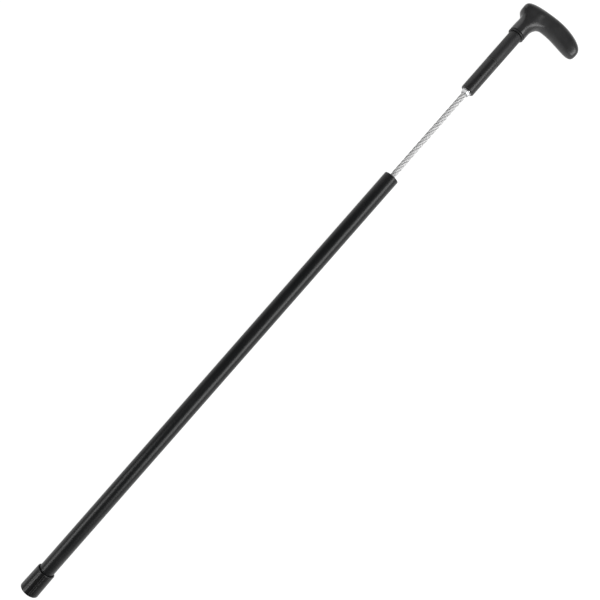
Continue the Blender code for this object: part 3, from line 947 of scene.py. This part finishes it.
def refinish(names, material):
    for name in names:
        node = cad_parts[name]
        node.data.materials.clear()
        node.data.materials.append(material)


refinish(inside["steelNodes"], turnedSteel("turnedPlainSteel", fittings["steelColour"], 0.3, 0.42))
refinish(inside["brightNodes"], brightSteel)
refinish(inside["nylonNodes"], mouldedNylon())
refinish(inside["rubberNodes"], softRubber("bumperRubber", inside["rubberColour"], 0.6))
refinish(inside["brassNodes"], turnedSteel("turnedBrass", inside["brassColour"], 0.25, 0.38))
print("inner pieces finished")


# Table, lights and camera

studio = {
    "tableSize": 14,
    "tableGlow": 0.98,
    "tableColour": (0.10, 0.10, 0.10),
    # height and brightness, 0 is the horizon and 1 is overhead
    "sky": ((0.0, 0.92), (0.10, 0.74), (0.26, 0.34), (0.62, 0.08)),
    "boxes": (
        # middle along the stick, side (-1 is -Y), lean from overhead in degrees,
        # distance, length, width, watts
        (0.83, -1, 44, 1.0, 1.95, 0.50, 16.5),
        (-0.50, 1, 41, 1.0, 0.90, 0.42, 5.6),
        (1.40, 1, 65, 0.6, 0.60, 0.44, 0.95),
    ),
    "lens": 42.508,
    "sensor": 36,
    "clip": (0.01, 50),
    "shift": (0.0292, 0.0508),
    "above": 0.4672,  # camera over this share of the stick's length
    "aside": -0.0278,  # along Y
    "height": 1.0976,
    "roll": -48.743,  # degrees
    "lean": (-0.063, -0.061),  # degrees, sideways and up
}


def makeTable():
    bm = bmesh.new()
    bmesh.ops.create_grid(bm, x_segments=4, y_segments=4, size=studio["tableSize"] / 2)
    mesh = bpy.data.meshes.new("table")
    bm.to_mesh(mesh)
    bm.free()
    table = bpy.data.objects.new("table", mesh)
    bpy.context.collection.objects.link(table)
    table.location = (stickLength / 2, 0, floorHeight)
    glow = studio["tableGlow"]
    material, tree, shader = newFinish("whiteTable", Roughness=0.7, Emission_Strength=glow)
    shader.inputs["Emission Color"].default_value = (1, 1, 1, 1)
    paper = noiseOn(tree, localPoint(tree), 40, 3)
    white = studio["tableColour"]
    cream = tuple(c * 0.98 for c in white)
    tree.links.new(rampOn(tree, paper, ((0.3, cream), (0.7, white))), shader.inputs["Base Color"])
    mesh.materials.append(material)


def makeRoom():
    world = bpy.data.worlds.new("studioRoom")
    world.use_nodes = True
    tree = world.node_tree
    tree.nodes.clear()
    output = tree.nodes.new("ShaderNodeOutputWorld")
    light = tree.nodes.new("ShaderNodeBackground")
    coords = tree.nodes.new("ShaderNodeTexCoord")
    parts = tree.nodes.new("ShaderNodeSeparateXYZ")
    tree.links.new(coords.outputs["Generated"], parts.inputs["Vector"])
    sky = rampOn(tree, parts.outputs["Z"], studio["sky"])
    tree.links.new(sky, light.inputs["Color"])
    tree.links.new(light.outputs["Background"], output.inputs["Surface"])
    bpy.context.scene.world = world


def makeSoftboxes():
    for k, values in enumerate(studio["boxes"]):
        middle, side, lean, distance, length, width, watts = values
        data = bpy.data.lights.new("softbox%d" % (k + 1), "AREA")
        data.shape = "RECTANGLE"
        data.size, data.size_y, data.energy = length, width, watts
        a = math.radians(lean)
        back = Vector((0, side * math.sin(a), math.cos(a)))
        along = Vector((1, 0, 0))
        box = bpy.data.objects.new(data.name, data)
        bpy.context.collection.objects.link(box)
        facing = Matrix((along, back.cross(along), back)).transposed().to_4x4()
        place = Vector((middle, 0, 0)) + back * distance
        box.matrix_world = Matrix.Translation(place) @ facing
        box.visible_camera = False


def makeCamera():
    data = bpy.data.cameras.new("camera")
    data.lens = studio["lens"]
    data.sensor_width = studio["sensor"]
    data.shift_x, data.shift_y = studio["shift"]
    data.dof.use_dof = False
    data.clip_start, data.clip_end = studio["clip"]
    camera = bpy.data.objects.new("camera", data)
    bpy.context.collection.objects.link(camera)
    along = cadBox[0].x + studio["above"] * stickLength
    camera.location = (along, studio["aside"], studio["height"])
    sideLean, upLean = (math.radians(v) for v in studio["lean"])
    turn = Matrix.Rotation(math.radians(studio["roll"]), 3, "Z")
    turn = turn @ Matrix.Rotation(sideLean, 3, "Y") @ Matrix.Rotation(upLean, 3, "X")
    camera.rotation_euler = turn.to_euler()
    bpy.context.scene.camera = camera


makeTable()
makeRoom()
makeSoftboxes()
makeCamera()
bpy.context.scene.view_settings.view_transform = "Standard"
bpy.context.scene.view_settings.look = "None"
print("table, lights and camera placed")
